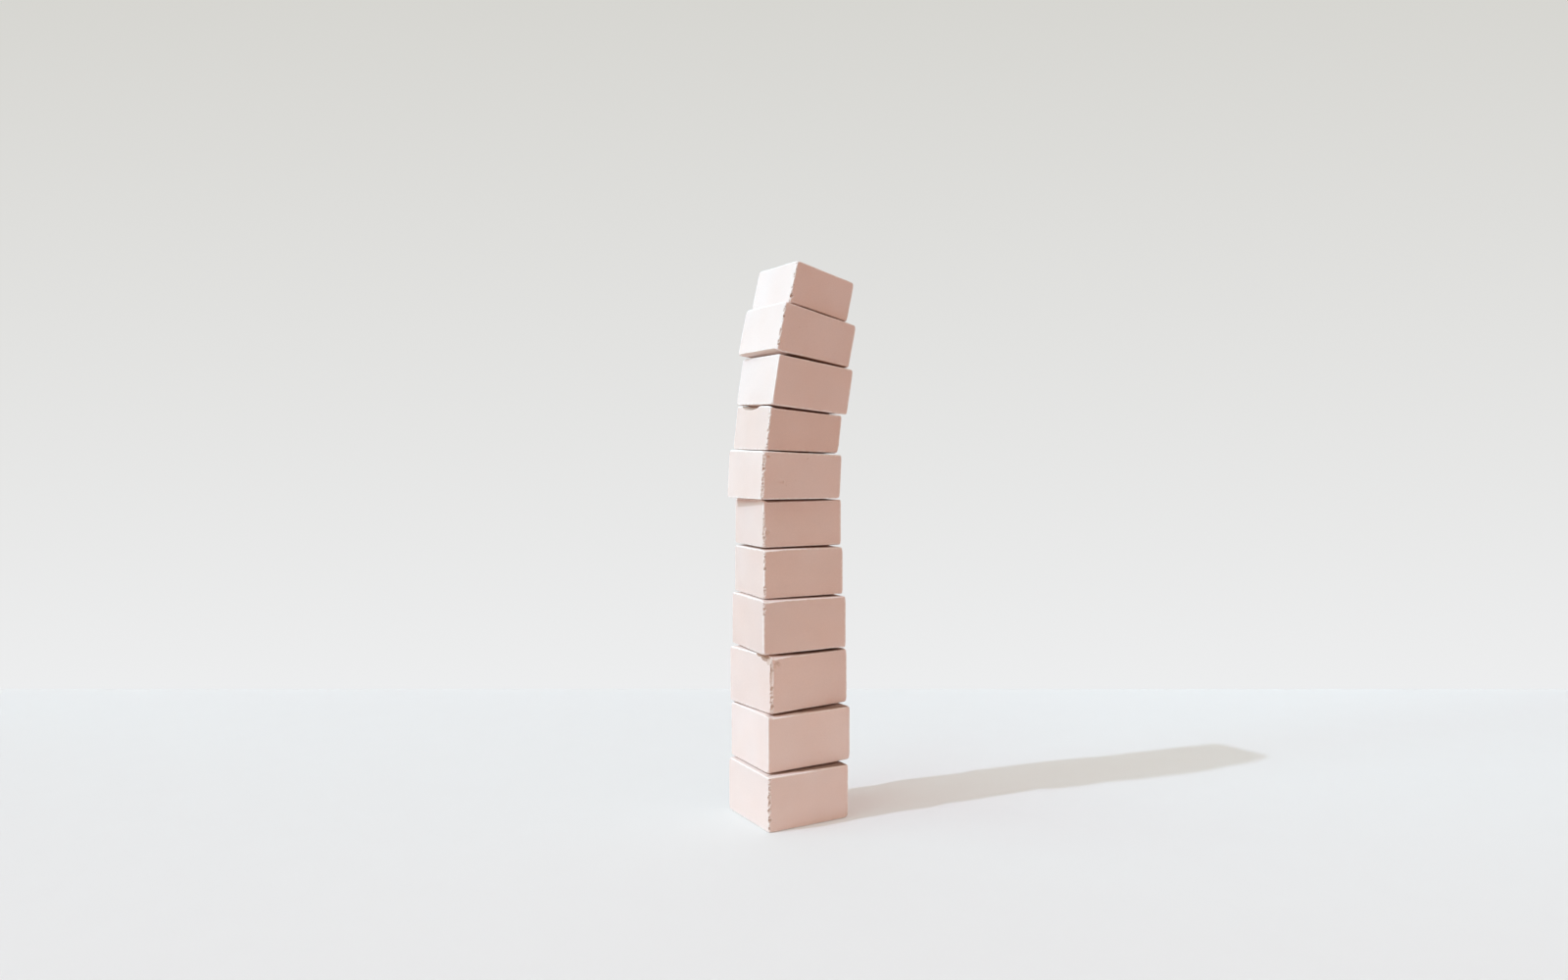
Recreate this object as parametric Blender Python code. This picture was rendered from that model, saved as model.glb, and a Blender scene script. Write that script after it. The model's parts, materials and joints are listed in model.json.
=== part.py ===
"""Giant tumbling tower: eleven loose painted wooden blocks, stacked one to a level.

Each block rests on the flat top of the block below it and can be pushed along that bed.
The top of every block is square to its sides. The feet of the upper blocks are cut a little
out of square, so that each one leans further than the one under it.
"""

import math
from collections import namedtuple

import bmesh
import bpy
from mathutils import Euler, Vector

MM = 0.001

# Air left between a foot and the bed that it stands on, in millimetres.
BED_GAP = 0.3

# The worn rounding of every edge, in millimetres, and the flats that make it up.
EDGE_ROUND = 3.0
EDGE_FLATS = 2

# Blush paint, as linear red, green and blue, and how much lighter or darker one block may be.
BLUSH = (0.76, 0.60, 0.54)
SHADE_STEP = 0.015
PAINT_ROUGHNESS = 0.85

# The driving sizes of each block, from the floor up, in millimetres and degrees.
# width is along its own X, which is the broad face in front, and depth along its Y.
# height is measured at its middle, square to its top.
# shift moves its middle along the bed below. turn twists it on that bed, and lean, which its foot
# is cut for, then tips it towards +X and +Y.
Block = namedtuple("Block", "width depth height shift turn lean")
BLOCKS = (
    Block(159, 147, 94, shift=(0, 0), turn=0, lean=(0, 0)),
    Block(164, 140, 98, shift=(10, 10), turn=-0.5, lean=(0, 0)),
    Block(160, 137, 99, shift=(2, 10), turn=4, lean=(0, 0)),
    Block(158, 144, 94, shift=(2, 3), turn=-9, lean=(0, 0)),
    Block(150, 144, 86, shift=(3.5, 9), turn=-1.5, lean=(0, 0)),
    Block(147, 146, 84, shift=(1.5, 7), turn=-1, lean=(0, 0)),
    Block(152, 150, 83, shift=(-12, -8), turn=4, lean=(2, -2)),
    Block(140, 143, 75, shift=(0, 0), turn=0, lean=(3, -1)),
    Block(148, 147, 84, shift=(3, -1), turn=1, lean=(3.5, 1.5)),
    Block(149, 140, 84, shift=(-10, 0), turn=3.5, lean=(3, 1)),
    Block(124, 127, 74, shift=(-3, 3), turn=1.5, lean=(1.5, 1)),
)

# Places where wood has broken away, each hollowed out by a flattened ball.
# block counts from the floor. place is a share of the half width and half depth, from -1 to 1,
# and of the height, from 0 at the foot to 1 at the top. reach is the ball's half size along X, Y, Z.
Chip = namedtuple("Chip", "name block place reach")
CHIPS = (
    Chip("low_edge", 1, (-1, -1, 0.62), (4, 5, 13)),
    Chip("flake", 3, (-1, -0.76, 0.95), (5, 24, 13)),
    Chip("corner", 3, (-0.88, -1, 0.93), (18, 5, 12)),
    Chip("upper_edge", 3, (-1, -1, 0.62), (5, 5, 16)),
    Chip("lower_edge", 6, (-1, -1, 0.38), (5, 4, 17)),
    Chip("top_edge", 7, (-1, -1, 0.84), (5, 5, 10)),
    Chip("scoop", 8, (-1, 0.2, 1), (5, 31, 7)),
    Chip("edge", 10, (-1, -1, 0.4), (5, 5, 10)),
)
CHIP_FACETS = 2


def clear_scene():
    for old in list(bpy.data.objects):
        bpy.data.objects.remove(old, do_unlink=True)


def link(name, mesh):
    made = bpy.data.objects.new(name, mesh)
    bpy.context.scene.collection.objects.link(made)
    return made


def paint(name, level):
    """Matt blush paint, a shade lighter on even levels and darker on odd ones."""
    shade = 1 + SHADE_STEP * (-1) ** level
    material = bpy.data.materials.new(name)
    material.use_nodes = True
    shader = material.node_tree.nodes["Principled BSDF"]
    shader.inputs["Base Color"].default_value = [shade * channel for channel in BLUSH] + [1]
    shader.inputs["Roughness"].default_value = PAINT_ROUGHNESS
    shader.inputs["Metallic"].default_value = 0
    return material


def tilt(block):
    """How a block is turned on its bed and then leant towards +X and +Y."""
    towards_x, towards_y = block.lean
    angles = (-towards_y, towards_x, block.turn)
    return Euler([math.radians(angle) for angle in angles])


def block_mesh(name, block):
    """A square-topped block whose foot lies in the plane of the bed through its origin."""
    bed = tilt(block).to_matrix().transposed() @ Vector((0, 0, 1))
    shape = bmesh.new()
    bmesh.ops.create_cube(shape, size=1)
    for corner in shape.verts:
        x = corner.co.x * block.width * MM
        y = corner.co.y * block.depth * MM
        foot = -(bed.x * x + bed.y * y) / bed.z
        z = block.height * MM if corner.co.z > 0 else foot
        corner.co = (x, y, z)
    mesh = bpy.data.meshes.new(name)
    shape.to_mesh(mesh)
    shape.free()
    return mesh


def make_block(level, block, below):
    """One block, stood on the block below by its origin, which is the middle of its foot."""
    name = f"block_{level:02d}"
    made = link(name, block_mesh(name, block))
    made.data.materials.append(paint(f"{name}_paint", level))
    made.rotation_euler = tilt(block)
    if below:
        bed_height = BLOCKS[level - 2].height + BED_GAP
        made.parent = below
        made.location = Vector((*block.shift, bed_height)) * MM
    rounding = made.modifiers.new("worn_edges", "BEVEL")
    rounding.width = EDGE_ROUND * MM
    rounding.segments = EDGE_FLATS
    rounding.limit_method = "NONE"
    return made


def cut_chip(chip, owner):
    """Hollows a chip out of its block."""
    block = BLOCKS[chip.block - 1]
    shape = bmesh.new()
    bmesh.ops.create_icosphere(shape, subdivisions=CHIP_FACETS, radius=1)
    middle = Vector((
        chip.place[0] * block.width / 2,
        chip.place[1] * block.depth / 2,
        chip.place[2] * block.height,
    ))
    for point in shape.verts:
        point.co = (middle + point.co * Vector(chip.reach)) * MM
    mesh = bpy.data.meshes.new(f"{owner.name}_{chip.name}")
    shape.to_mesh(mesh)
    shape.free()
    cutter = link(mesh.name, mesh)
    cutter.parent = owner
    cutter.hide_render = True
    cutter.display_type = "WIRE"
    cut = owner.modifiers.new(chip.name, "BOOLEAN")
    cut.operation = "DIFFERENCE"
    cut.object = cutter


def build_tower():
    clear_scene()
    stack = []
    for level, block in enumerate(BLOCKS, start=1):
        below = stack[-1] if stack else None
        stack.append(make_block(level, block, below))
    for chip in CHIPS:
        cut_chip(chip, stack[chip.block - 1])


build_tower()
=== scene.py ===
# %% [markdown]
# # A giant tumbling tower
# The real object is a stack of eleven painted wooden blocks, one block to a level. Nothing holds
# them together but their weight. The lower blocks stand straight and the upper ones lean.
#
# The solid model already knows how big each block is and where it stands, so this lesson doesn't
# measure anything twice. It reads the blocks from that model, makes a worn and chipped skin for
# each one, paints them, and sets up a small studio.

# %% Load the solid model
import json
from collections import namedtuple

import bpy
import numpy as np
from mathutils import Matrix, Vector


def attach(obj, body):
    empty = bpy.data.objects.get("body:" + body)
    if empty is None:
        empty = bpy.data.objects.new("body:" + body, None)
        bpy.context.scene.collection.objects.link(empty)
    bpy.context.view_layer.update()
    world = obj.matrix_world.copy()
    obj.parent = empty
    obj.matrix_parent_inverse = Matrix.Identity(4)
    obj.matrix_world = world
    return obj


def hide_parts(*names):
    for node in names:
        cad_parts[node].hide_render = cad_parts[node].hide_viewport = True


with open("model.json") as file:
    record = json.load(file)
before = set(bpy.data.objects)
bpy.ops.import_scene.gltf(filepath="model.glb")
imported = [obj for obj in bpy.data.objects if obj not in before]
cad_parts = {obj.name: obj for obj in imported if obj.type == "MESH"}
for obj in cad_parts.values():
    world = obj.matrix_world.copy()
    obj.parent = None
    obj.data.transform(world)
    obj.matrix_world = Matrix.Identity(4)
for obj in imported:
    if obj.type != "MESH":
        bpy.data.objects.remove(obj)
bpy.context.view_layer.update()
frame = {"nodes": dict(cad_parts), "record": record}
bodies = frame["record"]["behaviour"]["bodies"]

# %% [markdown]
# ## Measuring a block
# A block is a box with six flat faces, but it is turned and leans, so the box that Blender keeps
# round an object says little about it. Its faces do. The six largest flat faces of the solid are
# the sides of the block, and everything smaller is a rounded edge or a chip.
#
# From the six planes come the block's own axes, its middle and its sizes. A foot that was cut out
# of square shows as a slope against those axes.

# %% Read the six faces of a solid
# Faces count as one where the cosine of the angle between them is above this.
SAME_FACE = 0.9995
FACE_COUNT = 6


def flat_faces(solid):
    """The six largest flat faces, each as its outward direction and its distance along it."""
    rest = [(face.area, face.normal.copy(), face.center.copy()) for face in solid.data.polygons]
    found = []
    while len(found) < FACE_COUNT:
        seed = max(rest, key=lambda row: row[0])[1]
        same = [row for row in rest if row[1].dot(seed) > SAME_FACE]
        rest = [row for row in rest if row[1].dot(seed) <= SAME_FACE]
        area = sum(row[0] for row in same)
        normal = sum((row[0] * row[1] for row in same), Vector()).normalized()
        distance = sum(row[0] * normal.dot(row[2]) for row in same) / area
        found.append((normal, distance))
    return found


for solid in frame["nodes"].values():
    distances = [round(distance, 3) for _, distance in flat_faces(solid)]
    print(solid.name, "has its faces at", distances, "m")

# %% Turn the faces into a place and sizes
MM = 0.001
Block = namedtuple("Block", "place size slope")


def measure(solid):
    """Where a block stands, its width, depth and height in millimetres, and its foot's slope."""
    faces = flat_faces(solid)
    left, right = min(faces, key=lambda face: face[0].x), max(faces, key=lambda face: face[0].x)
    front, back = min(faces, key=lambda face: face[0].y), max(faces, key=lambda face: face[0].y)
    foot, top = min(faces, key=lambda face: face[0].z), max(faces, key=lambda face: face[0].z)
    up = top[0]
    across = (right[0] - up * up.dot(right[0])).normalized()
    away = up.cross(across)
    planes = np.array([right[0], back[0], foot[0]])
    middles = [(right[1] - left[1]) / 2, (back[1] - front[1]) / 2, foot[1]]
    origin = Vector(np.linalg.solve(planes, middles))
    turned = Matrix((across, away, up)).transposed()
    place = Matrix.Translation(origin) @ turned.to_4x4()
    size = np.array([right[1] + left[1], back[1] + front[1], top[1] - up.dot(origin)]) / MM
    sole = turned.transposed() @ foot[0]
    return Block(place, size, np.array([sole.x, sole.y]) / -sole.z)


blocks = {}
for body, (node,) in bodies.items():
    blocks[body] = measure(frame["nodes"][node])
    print(body, "measures", blocks[body].size.round(1), "mm, foot slope", blocks[body].slope.round(3))

# %% [markdown]
# ## A skin that can wear
# A cube with a Bevel modifier would give clean, even edges, as on a new block. The edges of these
# blocks are knocked about, so the skin needs points close together near its edges, where the wear
# is, and few in the middle of a face, where nothing happens.
#
# A grid does that. Its lines crowd together towards both ends of each side, and the points of all
# six faces share the lines along the edges, so the skin is closed from the start.

# %% Lines of the grid
# Millimetres from either end of a side. Upright sides take the first few, as their step is small.
EDGE_LINES = np.array([0, 0.6, 1.3, 2.1, 3.1, 4.4, 6.2, 9.0, 13.0, 20.0])
UPRIGHT_LINES = EDGE_LINES[:5]

# The step between lines further in, along a face and up its height, and the least step of all.
FACE_STEP = 20.0
HEIGHT_STEP = 1.5
LEAST_STEP = 0.35


def grid_lines(length, step, lines, extra=()):
    """Places along a side from 0 to its length: close at both ends, step apart between them."""
    count = int(np.ceil((length - 2 * lines[-1]) / step)) + 1
    middle = np.linspace(lines[-1], length - lines[-1], count)
    wanted = np.sort(np.concatenate([lines, middle, length - lines, extra]))
    kept = [0.0]
    for place in wanted:
        if place - kept[-1] > LEAST_STEP and length - place > LEAST_STEP:
            kept.append(place)
    return np.array(kept + [length])


widest = max(block.size[0] for block in blocks.values())
print("the widest side has", len(grid_lines(widest, FACE_STEP, EDGE_LINES)), "lines without its chips")


# %% A closed box of grid lines
def grid_box(xs, ys, zs):
    """The points of a box's six gridded faces and the four-sided faces between them."""
    number = np.zeros((len(xs), len(ys), len(zs)), int)
    number[1:-1, 1:-1, 1:-1] = -1
    steps = np.argwhere(number == 0)
    number[tuple(steps.T)] = np.arange(len(steps))
    points = np.column_stack([xs[steps[:, 0]], ys[steps[:, 1]], zs[steps[:, 2]]])
    quads = []
    for axis in range(3):
        for end in (0, -1):
            sheet = np.take(number, end, axis=axis)
            ring = [sheet[:-1, :-1], sheet[1:, :-1], sheet[1:, 1:], sheet[:-1, 1:]]
            outward = (axis != 1) == (end == -1)
            quads.append(np.stack(ring if outward else ring[::-1], axis=-1).reshape(-1, 4))
    return points, np.concatenate(quads)


cube_points, cube_faces = grid_box(EDGE_LINES[:2], EDGE_LINES[:2], EDGE_LINES[:2])
print("the smallest box has", len(cube_points), "points and", len(cube_faces), "faces")

# %% [markdown]
# ## Rounding the edges by wear
# Worn edges aren't one radius all along. Handling rounds them in some places more than in others,
# and a few corners have been dropped on and are round as a thumb. Each point near an edge is drawn
# in onto an arc, and the radius of that arc drifts along the edge with a soft noise.
#
# The noise is made here and not with Blender's textures, because it has to move the points of the
# mesh. It is a block of random numbers, read with smooth blending between neighbours.

# %% A soft noise in space
NOISE_CELLS = 32


def soft_noise(points, lump, seed):
    """A number from -1 to 1 for each point, which changes over about one lump in millimetres."""
    levels = np.random.default_rng(seed).uniform(-1, 1, (NOISE_CELLS,) * 3)
    cell = np.floor(points / lump).astype(int)
    part = points / lump - cell
    part = part * part * (3 - 2 * part)
    total = np.zeros(len(points))
    for corner in np.ndindex(2, 2, 2):
        share = np.prod(np.where(corner, part, 1 - part), axis=1)
        x, y, z = ((cell + corner) % NOISE_CELLS).T
        total += share * levels[x, y, z]
    return total


walk = np.column_stack([EDGE_LINES] * 3)
print("noise on a walk of", EDGE_LINES[-1], "mm:", soft_noise(walk, EDGE_LINES[5], seed=0).round(2))


# %% Round the edges
# Radii in millimetres, the share by which they drift, and the length over which they do.
EDGE_RADIUS = 2.0
CORNER_RADIUS = 4.2
EDGE_DRIFT = 0.35
DRIFT_LUMP = 22.0

# How far a corner's larger radius carries along its edges, as so many radii.
CORNER_SPREAD = 1.6

# Corners that are rounder than the rest: level, which way along X, Y and Z, and radius in mm.
SoftCorner = namedtuple("SoftCorner", "level sides radius")
SOFT_CORNERS = (
    SoftCorner(1, (1, -1, -1), 5.5),
    SoftCorner(2, (1, -1, -1), 6.5),
    SoftCorner(3, (1, -1, -1), 6.0),
    SoftCorner(4, (1, -1, -1), 4.5),
    SoftCorner(8, (1, -1, -1), 8.0),
    SoftCorner(9, (-1, -1, -1), 5.0),
    SoftCorner(5, (1, 1, 1), 6.0),
    SoftCorner(6, (-1, 1, 1), 5.5),
    SoftCorner(10, (1, 1, -1), 6.5),
    SoftCorner(11, (1, 1, 1), 5.0),
)


def edge_radius(level, points, half):
    """The radius of the worn edge nearest to each point of a block centred on its middle."""
    away = np.linalg.norm(half - np.abs(points), axis=1) / (CORNER_SPREAD * CORNER_RADIUS)
    radius = EDGE_RADIUS + (CORNER_RADIUS - EDGE_RADIUS) * np.exp(-away * away)
    radius *= 1 + EDGE_DRIFT * soft_noise(points, DRIFT_LUMP, seed=level)
    for corner in SOFT_CORNERS:
        if corner.level == level:
            away = np.linalg.norm(points - half * corner.sides, axis=1)
            away = away / (CORNER_SPREAD * corner.radius)
            radius += (corner.radius - CORNER_RADIUS) * np.exp(-away * away)
    return radius


def round_edges(points, half, radius):
    """Draws the points of a sharp box in onto rounded edges and corners."""
    over = np.maximum(np.abs(points) - (half - radius[:, None]), 0)
    length = np.linalg.norm(over, axis=1)
    pulled = over * (1 - radius / length)[:, None]
    return points - np.sign(points) * pulled


print(len(SOFT_CORNERS), "corners are rounder than the rest")

# %% [markdown]
# ## Breaking pieces out
# Painted wood breaks at its edges first. The near upright edges of several blocks are crumbled
# along their height, one has lost a corner, and one has a shallow scoop out of its top edge. A few
# small pits lie in the faces.
#
# A Boolean with a ball for each would leave long thin faces. Instead, every point that lies inside
# a squashed ball is pushed inward until it meets the ball's far side. The points are first shaken
# a little, so that the broken face comes out ragged. How far a point moved is kept as well, because
# the paint has to know where the bare wood shows.

# %% Push points onto the far side of a ball
# How far a point is shaken, and the length over which that changes, in millimetres.
RAGGED = 0.55
RAGGED_LUMP = 2.6


def shaken(points, seed):
    """The points with a small random drift, which makes the outline of a break ragged."""
    drifts = [soft_noise(points, RAGGED_LUMP, seed + axis) for axis in range(3)]
    return points + RAGGED * np.column_stack(drifts)


def break_out(loose, middle, reach, inward):
    """How far inward each point has to go to leave a ball of that middle and reach."""
    offset = (loose - middle) / reach
    step = inward / reach
    along = offset @ step
    inside = 1 - (offset * offset).sum(axis=1)
    root = np.sqrt(np.maximum(along * along + step @ step * inside, 0))
    return np.where(inside > 0, (root - along) / (step @ step), 0)


start = np.zeros((1, 3))
ball = np.full(3, EDGE_LINES[-1])
ahead = np.array([1.0, 0, 0])
depth = break_out(start, start[0], ball, ahead)[0]
print("from the middle of a ball to its side is", round(depth, 3), "mm")


# %% Chips and pits, block by block
# place runs from -1 to 1 over the width and the depth, and from 0 to 1 over the height.
# reach is half the size of the ball along X, Y and Z, in millimetres. tone is 0 where the broken
# wood is pale and clean, and 1 where it is dark. On the flake at the top of the third block and the
# scoop in the eighth, the dark tone is also painted shade under the block above.
Chip = namedtuple("Chip", "level place reach tone")
CHIPS = (
    Chip(1, (-1, -1, 0.62), (3, 3.5, 7), 0.3),
    # The flake at the top of the near corner: its dark tone is partly painted shade under the block
    # above.
    Chip(3, (-1, -0.50, 1.0), (3.5, 14, 5.5), 0.8),
    Chip(3, (-1, -0.68, 1.0), (5.5, 13, 11), 0.8),
    Chip(3, (-1, -0.86, 1.0), (5, 9, 16), 0.35),
    Chip(3, (-0.86, -1, 0.90), (6, 1.2, 6), 0.25),
    Chip(3, (-0.80, -1, 0.86), (4, 0.9, 4), 0.15),
    Chip(3, (-1, -1, 0.62), (5, 5, 16), 0.2),
    Chip(3, (-0.90, -1, 0.82), (3, 1.6, 2.4), 0.0),
    Chip(6, (-1, -1, 0.38), (3.5, 3, 9), 0.2),
    Chip(6, (-0.89, -1, 0.33), (3.6, 2.2, 3), 0.0),
    Chip(7, (-1, -1, 0.84), (3.6, 3.6, 6), 0.3),
    Chip(7, (-0.86, -1, 0.90), (3.2, 1.8, 2.6), 0.0),
    Chip(7, (-0.46, -1, 0.37), (2.2, 0.7, 2.4), 0.25),
    Chip(7, (-0.40, -1, 0.30), (1.6, 0.6, 1.8), 0.2),
    Chip(7, (-0.16, -1, 0.40), (1.6, 0.6, 1.8), 0.2),
    Chip(7, (0.12, -1, 0.88), (2.2, 0.7, 1.8), 0.25),
    # The scoop under the ninth block: its dark tone is partly painted shade.
    Chip(8, (-1, 0.20, 1), (12, 37, 7.5), 0.45),
    Chip(10, (-1, -1, 0.4), (2.8, 2.8, 5), 0.3),
    Chip(10, (-0.52, -1, 0.58), (1.8, 0.6, 1.8), 0.2),
)
print(len(CHIPS), "chips and pits")

# %% Crumbled edges
# The upright edges are named by where they stand: near is the one between the two seen faces.
# Each has its side along X and Y, and a seed for its random numbers. A crumbled stretch goes from low
# to high, as shares of the height. The stronger it is, the more and the larger bites it has.
Upright = namedtuple("Upright", "x y seed")
UPRIGHTS = {"near": Upright(-1, -1, 40), "far": Upright(1, 1, 30)}

Crumble = namedtuple("Crumble", "level edge low high strength")
CRUMBLES = (
    Crumble(1, "near", 0.04, 1.00, 0.75),
    Crumble(2, "near", 0.00, 0.12, 0.30),
    Crumble(3, "near", 0.00, 1.00, 1.00),
    Crumble(4, "near", 0.70, 1.00, 0.60),
    Crumble(5, "near", 0.60, 1.00, 0.55),
    Crumble(5, "near", 0.00, 0.25, 0.65),
    Crumble(6, "near", 0.02, 0.75, 1.00),
    Crumble(7, "near", 0.00, 1.00, 1.00),
    Crumble(8, "near", 0.00, 1.00, 0.45),
    Crumble(10, "near", 0.10, 1.00, 0.50),
    Crumble(11, "near", 0.00, 0.30, 0.50),
    Crumble(11, "near", 0.30, 1.00, 0.35),
    Crumble(2, "far", 0.10, 0.80, 0.70),
    Crumble(3, "far", 0.55, 1.00, 0.50),
    Crumble(4, "far", 0.00, 0.45, 0.80),
    Crumble(6, "far", 0.20, 1.00, 0.60),
    Crumble(8, "far", 0.00, 0.60, 0.80),
    Crumble(9, "far", 0.10, 0.90, 0.60),
    Crumble(11, "far", 0.30, 1.00, 0.60),
)
print(len(CRUMBLES), "crumbled stretches of edge")

# %% Bites out of a crumbled edge
# How far apart bites are, their reach and how far they stray from the edge, in millimetres.
BITE_SPACING = 2.1
BITE_REACH = (1.6, 3.9)
BITE_STRAY = (0.2, 2.4)
LEAST_BITES = 2

# How tall a bite is for its reach, how far it wanders in spacings, and how dark its wood is.
BITE_TALL = (0.5, 1.0)
BITE_WANDER = (-0.4, 1.4)
BITE_TONE = (0, 0.6)

# Above 1, small bites are more frequent than large ones.
SMALL_BITES = 1.6

# What is left of a bite's size in the weakest crumbling.
WEAK_BITE = 0.6

# What a level and the start of a stretch add to its seed.
LEVEL_SEEDS = 100
START_SEEDS = 9


def crumble_bites(crumble, half):
    """Small balls, as middle, reach, inward and tone, set unevenly along an upright edge.

    Half of them stray onto the one face beside the edge and half onto the other, so that the edge
    comes out jagged.
    """
    upright = UPRIGHTS[crumble.edge]
    seed = LEVEL_SEEDS * crumble.level + upright.seed + int(START_SEEDS * crumble.low)
    chance = np.random.default_rng(seed)
    length = crumble.high - crumble.low
    count = max(LEAST_BITES, round(length * 2 * half[2] / BITE_SPACING * crumble.strength))
    outward = np.array([upright.x, upright.y, 0])
    bites = []
    for number in range(count):
        share = crumble.low + length * (number + chance.uniform(*BITE_WANDER)) / count
        size = np.interp(chance.uniform() ** SMALL_BITES, (0, 1), BITE_REACH)
        size = size * (WEAK_BITE + (1 - WEAK_BITE) * crumble.strength)
        middle = half * [upright.x, upright.y, 2 * share - 1]
        beside = number % 2
        middle[beside] -= outward[beside] * chance.uniform(*BITE_STRAY)
        reach = size * np.array([1, 1, chance.uniform(*BITE_TALL)])
        bites.append((middle, reach, -outward / np.sqrt(2), chance.uniform(*BITE_TONE)))
    return bites


halves = [block.size / 2 for block in blocks.values()]
print(sum(len(crumble_bites(row, halves[row.level - 1])) for row in CRUMBLES), "bites in all")

# %% [markdown]
# ## From lines to a block
# Now the steps come together: lay out the grid, round it, break the chips out, wear the rims, and
# tip the foot to the slope that was measured. Points only move inward from the six faces, so a block
# that slides along its bed still clears it.
#
# Four numbers stay with every point as mesh attributes. "edge" says how near it is to an edge, where
# hands rub and where the paler paint is also a painted highlight, "bare" how deep the break is
# there, "tone" how dark the broken wood is, on two chips also as painted shade, and "bed" how dark
# a top is where the next block stands, or a foot, with dust, dirt and painted shade in the gaps.

# %% Where chips go
# From this share of half a side on, a chip lies on the edge and is pushed in from there as well.
AT_EDGE = 0.9


def chip_ball(chip, half):
    """The middle, reach, inward direction and tone of a chip on a block centred on its middle."""
    share = np.array([chip.place[0], chip.place[1], 2 * chip.place[2] - 1])
    inward = np.where(np.abs(share) >= AT_EDGE, -np.sign(share), 0)
    return share * half, np.array(chip.reach, float), inward / np.linalg.norm(inward), chip.tone


# The least and the most grid lines across a chip. Between them it has one for each mm of its reach.
# They go past its reach by a factor, and stay some millimetres clear of the block's edges.
CHIP_LINES = (7, 18)
CHIP_MARGIN = 1.1
EDGE_CLEAR = 1.0


def lines_for_chips(chips, axis, half):
    """Extra grid lines along one axis, close enough to show each chip in a face."""
    extra = [np.empty(0)]
    for chip in chips:
        middle, reach, _, _ = chip_ball(chip, half)
        if abs(middle[axis]) < AT_EDGE * half[axis]:
            count = int(np.clip(reach[axis], *CHIP_LINES))
            around = np.linspace(-CHIP_MARGIN, CHIP_MARGIN, count) * reach[axis]
            extra.append(half[axis] + middle[axis] + around)
    lines = np.concatenate(extra)
    return lines[(lines > EDGE_CLEAR) & (lines < 2 * half[axis] - EDGE_CLEAR)]


for axis, name in enumerate("XY"):
    counts = [len(lines_for_chips([chip], axis, halves[chip.level - 1])) for chip in CHIPS]
    print("chips add", sum(counts), "grid lines along", name)

# %% [markdown]
# ## Worn rims
# The gaps between the blocks aren't even lines. The rims of a foot and of the top under it are worn
# by different amounts from one end to the other, and that opens each gap towards one side. A bevel
# has one width all round, so each rim has a small table of what is off at both ends of its sides.

# %% What is off along each rim
# Each rim is followed round the block: the left side from its far end to its near end, then the
# front, right and back sides. A pair says how many millimetres are worn off at both ends of a side.
SIDES = np.array([(-1, 0), (0, -1), (1, 0), (0, 1)])
Rim = namedtuple("Rim", "left front right back")
FOOT_RIMS = (
    Rim((0.4, 0.4), (0.4, 0.4), (0.4, 0.4), (0.4, 0.4)),
    Rim((0.9, 0.3), (1.0, 3.4), (2.6, 2.2), (2.4, 2.0)),
    Rim((0.7, 0.4), (1.0, 3.7), (2.8, 2.2), (2.6, 2.2)),
    Rim((1.3, 0.3), (0.6, 4.3), (2.4, 2.0), (2.2, 2.4)),
    Rim((0.7, 0.3), (0.6, 3.2), (2.4, 2.2), (2.0, 1.6)),
    Rim((1.4, 1.4), (1.4, 4.0), (2.6, 2.4), (2.4, 2.0)),
    Rim((0.8, 0.2), (0.3, 0.6), (1.8, 2.0), (2.0, 1.6)),
    Rim((1.0, 0.8), (1.6, 3.0), (1.6, 1.6), (1.6, 1.4)),
    Rim((1.1, 1.8), (1.3, 0.4), (1.6, 1.8), (1.8, 1.4)),
    Rim((3.4, 5.8), (2.8, 4.4), (2.4, 2.2), (2.0, 2.6)),
    Rim((0.4, 0.4), (3.6, 2.4), (2.2, 2.0), (1.8, 1.4)),
)
TOP_RIMS = (
    Rim((0.2, 2.4), (2.2, 1.3), (1.2, 1.4), (1.4, 1.0)),
    Rim((1.4, 0.8), (5.0, 1.6), (1.4, 1.6), (1.6, 1.2)),
    Rim((0.4, 1.0), (3.5, 2.2), (1.8, 1.4), (1.4, 1.0)),
    Rim((0.0, 0.8), (2.0, 0.6), (1.0, 1.4), (1.4, 0.8)),
    Rim((1.7, 2.3), (1.4, 0.5), (1.0, 1.4), (1.6, 1.4)),
    Rim((0.2, 0.2), (4.8, 1.6), (1.4, 1.2), (1.2, 0.8)),
    Rim((0.0, 0.0), (0.2, 0.8), (1.0, 1.0), (1.2, 0.6)),
    Rim((0.4, 0.4), (4.0, 2.2), (2.2, 1.8), (1.6, 1.0)),
    Rim((0.8, 1.8), (2.4, 0.8), (1.4, 1.6), (1.6, 1.2)),
    Rim((0.2, 0.2), (1.4, 2.4), (2.2, 1.8), (1.6, 0.8)),
    Rim((0.3, 0.3), (0.3, 0.3), (0.3, 0.3), (0.3, 0.3)),
)
print("feet are worn by up to", np.max(FOOT_RIMS), "mm and tops by up to", np.max(TOP_RIMS), "mm")

# %% What is off at each point
# How far in a rim's wear reaches, by what share it drifts, and the length of edge over which the
# wear of one side changes into that of the next, in millimetres.
RIM_DEPTH = 20.0
RIM_DRIFT = 0.12
RIM_SEED = 200
CORNER_LENGTH = 9.0

# How far up or down a face its points move along with a rim, in millimetres, and how much further
# for each millimetre that is off.
RIM_HEIGHT = 5.0
RIM_STRETCH = 2.5

# Tops whose front edge is rubbed down to a slope near its near end: the length of that stretch and
# what is off at the edge, in millimetres. The slope reaches in by its depth, and keeps its full
# height over a part of its length.
RUBBED_EDGES = {3: (26.0, 2.6), 4: (42.0, 2.4), 5: (46.0, 2.0)}
RUBBED_DEPTH = 7.5
RUBBED_TAPER = 1.3


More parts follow.
